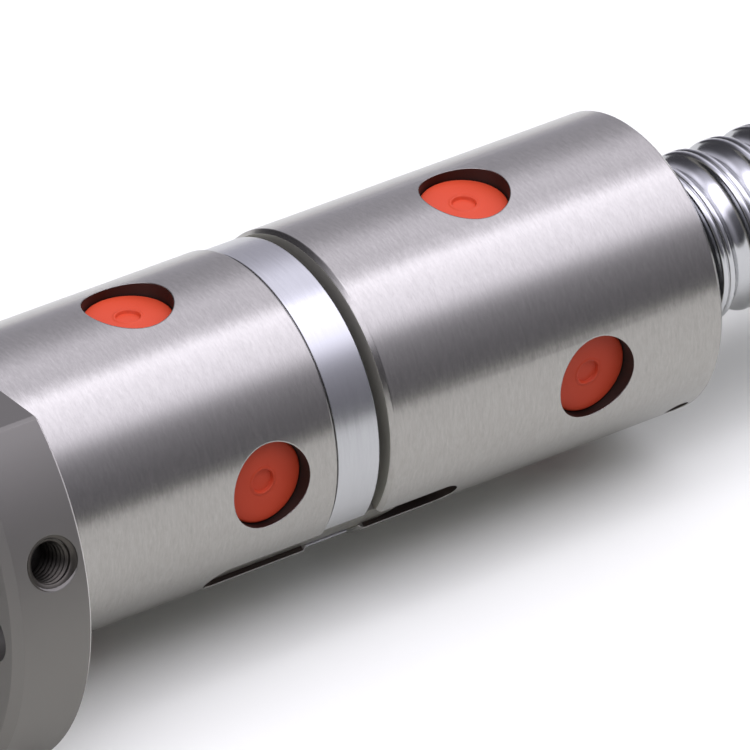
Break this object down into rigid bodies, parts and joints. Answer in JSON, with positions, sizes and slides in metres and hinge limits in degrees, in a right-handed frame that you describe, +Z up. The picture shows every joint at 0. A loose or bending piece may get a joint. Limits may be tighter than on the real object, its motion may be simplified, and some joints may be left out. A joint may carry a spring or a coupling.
{
  "type": "ball screw",
  "caption": "Rolled ball screw with a preloaded double nut: a flanged and a plain ground nut, keyed together across a spacer ring, that travel as they turn.",
  "frame": {"origin": "on the screw's axis, in the flange's face that seats against the housing", "axes": "+X along the screw from the flange towards the plain nut, +Z up through the flange's upper flat, -Y is the front with the oil port"},
  "size_m": [0.26, 0.058, 0.044],
  "materials": {
    "rolled_steel": "polished by rolling",
    "ground_steel": "finely ground round the axis",
    "turned_steel": "finely turned",
    "dark_steel": "dark, as hardened",
    "polished_steel": "polished",
    "orange_plastic": "satin moulded",
    "black_plastic": "matt"
  },
  "bodies": {
    "screw": {"screw_shaft": "rolled_steel"},
    "wipers": {"wiper_rings": "black_plastic"},
    "nuts": {"flanged_nut": "ground_steel", "plain_nut": "ground_steel", "spacer_ring": "turned_steel", "nut_key": "dark_steel", "wiper_set_screw": "dark_steel", "flanged_nut_deflector_1": "orange_plastic", "flanged_nut_deflector_2": "orange_plastic", "flanged_nut_deflector_3": "orange_plastic", "flanged_nut_deflector_4": "orange_plastic", "plain_nut_deflector_1": "orange_plastic", "plain_nut_deflector_2": "orange_plastic", "plain_nut_deflector_3": "orange_plastic", "plain_nut_deflector_4": "orange_plastic", "flanged_nut_balls_1": "polished_steel", "flanged_nut_balls_2": "polished_steel", "flanged_nut_balls_3": "polished_steel", "flanged_nut_balls_4": "polished_steel", "plain_nut_balls_1": "polished_steel", "plain_nut_balls_2": "polished_steel", "plain_nut_balls_3": "polished_steel", "plain_nut_balls_4": "polished_steel"}
  },
  "joints": [
    {"name": "nut_travel", "type": "slide", "parent": "screw", "child": "wipers", "axis": [1, 0, 0], "range_m": [-0.04, 0.09]},
    {"name": "nut_turn", "type": "hinge", "parent": "wipers", "child": "nuts", "pos_m": [0, 0, 0], "axis": [1, 0, 0], "range_deg": [-2880, 6480]}
  ],
  "couplings": [
    {"joint": "nut_travel", "follows": "nut_turn", "m_per_rad": 0.00079577}
  ]
}
